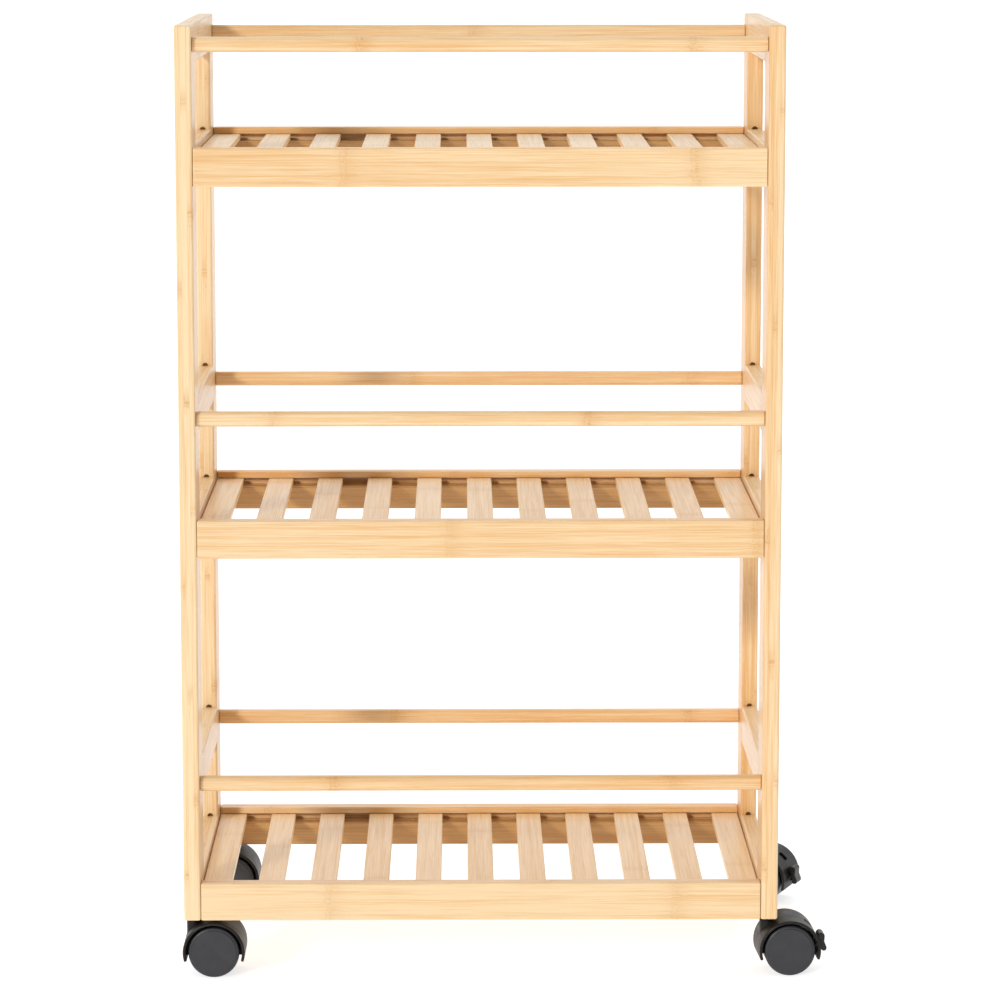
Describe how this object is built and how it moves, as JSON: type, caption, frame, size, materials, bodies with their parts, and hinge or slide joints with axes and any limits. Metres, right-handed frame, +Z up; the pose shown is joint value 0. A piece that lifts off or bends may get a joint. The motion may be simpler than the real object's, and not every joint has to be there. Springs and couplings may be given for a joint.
{
  "type": "rolling utility cart",
  "caption": "Slim bamboo trolley: slatted shelves with front and rear guard bars between two ladder side frames, on twin-wheel swivel casters, two of them braked.",
  "frame": {"origin": "on the floor, under the middle of the overall box, casters included", "axes": "+Z up, +X along the shelves to the right-hand side, -Y to the front"},
  "size_m": [0.5457, 0.3006, 0.8],
  "materials": {
    "bamboo": "laminated bamboo, satin clear lacquer",
    "hood_plastic": "moulded black nylon, fine spark texture",
    "wheel_plastic": "moulded charcoal plastic",
    "steel": "zinc-plated steel"
  },
  "bodies": {
    "root": {"leg_front_left": "bamboo", "leg_front_right": "bamboo", "leg_rear_left": "bamboo", "leg_rear_right": "bamboo", "side_rail_left_bottom_shelf": "bamboo", "side_rail_left_bottom_guard": "bamboo", "side_rail_left_middle_shelf": "bamboo", "side_rail_left_middle_guard": "bamboo", "side_rail_left_top_shelf": "bamboo", "side_rail_left_top_guard": "bamboo", "side_rail_right_bottom_shelf": "bamboo", "side_rail_right_bottom_guard": "bamboo", "side_rail_right_middle_shelf": "bamboo", "side_rail_right_middle_guard": "bamboo", "side_rail_right_top_shelf": "bamboo", "side_rail_right_top_guard": "bamboo", "shelf_rail_front_bottom": "bamboo", "shelf_rail_front_middle": "bamboo", "shelf_rail_front_top": "bamboo", "shelf_rail_rear_bottom": "bamboo", "shelf_rail_rear_middle": "bamboo", "shelf_rail_rear_top": "bamboo", "guard_bar_front_bottom": "bamboo", "guard_bar_front_middle": "bamboo", "guard_bar_front_top": "bamboo", "guard_bar_rear_bottom": "bamboo", "guard_bar_rear_middle": "bamboo", "guard_bar_rear_top": "bamboo", "slat_deck_bottom": "bamboo", "slat_deck_middle": "bamboo", "slat_deck_top": "bamboo", "caster_front_left_stem": "steel", "caster_front_left_insert": "steel", "caster_front_right_stem": "steel", "caster_front_right_insert": "steel", "caster_rear_left_stem": "steel", "caster_rear_left_insert": "steel", "caster_rear_right_stem": "steel", "caster_rear_right_insert": "steel"},
    "caster_front_left_swivel": {"caster_front_left_hood": "hood_plastic", "caster_front_left_axle": "steel"},
    "caster_front_left_wheel_front": {"caster_front_left_wheel_front": "wheel_plastic"},
    "caster_front_left_wheel_rear": {"caster_front_left_wheel_rear": "wheel_plastic"},
    "caster_front_right_swivel": {"caster_front_right_hood": "hood_plastic", "caster_front_right_axle": "steel"},
    "caster_front_right_wheel_front": {"caster_front_right_wheel_front": "wheel_plastic"},
    "caster_front_right_wheel_rear": {"caster_front_right_wheel_rear": "wheel_plastic"},
    "caster_front_right_brake_lever": {"caster_front_right_brake_lever": "hood_plastic"},
    "caster_rear_left_swivel": {"caster_rear_left_hood": "hood_plastic", "caster_rear_left_axle": "steel"},
    "caster_rear_left_wheel_front": {"caster_rear_left_wheel_front": "wheel_plastic"},
    "caster_rear_left_wheel_rear": {"caster_rear_left_wheel_rear": "wheel_plastic"},
    "caster_rear_right_swivel": {"caster_rear_right_hood": "hood_plastic", "caster_rear_right_axle": "steel"},
    "caster_rear_right_wheel_front": {"caster_rear_right_wheel_front": "wheel_plastic"},
    "caster_rear_right_wheel_rear": {"caster_rear_right_wheel_rear": "wheel_plastic"},
    "caster_rear_right_brake_lever": {"caster_rear_right_brake_lever": "hood_plastic"}
  },
  "joints": [
    {"name": "caster_front_left_swivel", "type": "hinge", "parent": "root", "child": "caster_front_left_swivel", "pos_m": [-0.2639, -0.126, 0.05], "axis": [0, 0, 1], "continuous": true},
    {"name": "caster_front_left_wheel_front_spin", "type": "hinge", "parent": "caster_front_left_swivel", "child": "caster_front_left_wheel_front", "pos_m": [-0.2465, -0.126, 0.0215], "axis": [0, 1, 0], "continuous": true},
    {"name": "caster_front_left_wheel_rear_spin", "type": "hinge", "parent": "caster_front_left_swivel", "child": "caster_front_left_wheel_rear", "pos_m": [-0.2465, -0.126, 0.0215], "axis": [0, 1, 0], "continuous": true},
    {"name": "caster_front_right_swivel", "type": "hinge", "parent": "root", "child": "caster_front_right_swivel", "pos_m": [0.2221, -0.126, 0.05], "axis": [0, 0, 1], "continuous": true},
    {"name": "caster_front_right_wheel_front_spin", "type": "hinge", "parent": "caster_front_right_swivel", "child": "caster_front_right_wheel_front", "pos_m": [0.23948, -0.12509, 0.0215], "axis": [-0.0523, 0.9986, 0], "continuous": true},
    {"name": "caster_front_right_wheel_rear_spin", "type": "hinge", "parent": "caster_front_right_swivel", "child": "caster_front_right_wheel_rear", "pos_m": [0.23948, -0.12509, 0.0215], "axis": [-0.0523, 0.9986, 0], "continuous": true},
    {"name": "caster_front_right_brake", "type": "hinge", "parent": "caster_front_right_swivel", "child": "caster_front_right_brake_lever", "pos_m": [0.26434, -0.12379, 0.0245], "axis": [-0.0523, 0.9986, 0], "range_deg": [0, 15]},
    {"name": "caster_rear_left_swivel", "type": "hinge", "parent": "root", "child": "caster_rear_left_swivel", "pos_m": [-0.2639, 0.126, 0.05], "axis": [0, 0, 1], "continuous": true},
    {"name": "caster_rear_left_wheel_front_spin", "type": "hinge", "parent": "caster_rear_left_swivel", "child": "caster_rear_left_wheel_front", "pos_m": [-0.2465, 0.126, 0.0215], "axis": [0, 1, 0], "continuous": true},
    {"name": "caster_rear_left_wheel_rear_spin", "type": "hinge", "parent": "caster_rear_left_swivel", "child": "caster_rear_left_wheel_rear", "pos_m": [-0.2465, 0.126, 0.0215], "axis": [0, 1, 0], "continuous": true},
    {"name": "caster_rear_right_swivel", "type": "hinge", "parent": "root", "child": "caster_rear_right_swivel", "pos_m": [0.2221, 0.126, 0.05], "axis": [0, 0, 1], "continuous": true},
    {"name": "caster_rear_right_wheel_front_spin", "type": "hinge", "parent": "caster_rear_right_swivel", "child": "caster_rear_right_wheel_front", "pos_m": [0.23823, 0.11948, 0.0215], "axis": [0.3746, 0.9272, 0], "continuous": true},
    {"name": "caster_rear_right_wheel_rear_spin", "type": "hinge", "parent": "caster_rear_right_swivel", "child": "caster_rear_right_wheel_rear", "pos_m": [0.23823, 0.11948, 0.0215], "axis": [0.3746, 0.9272, 0], "continuous": true},
    {"name": "caster_rear_right_brake", "type": "hinge", "parent": "caster_rear_right_swivel", "child": "caster_rear_right_brake_lever", "pos_m": [0.26132, 0.11015, 0.0245], "axis": [0.3746, 0.9272, 0], "range_deg": [0, 15]}
  ]
}
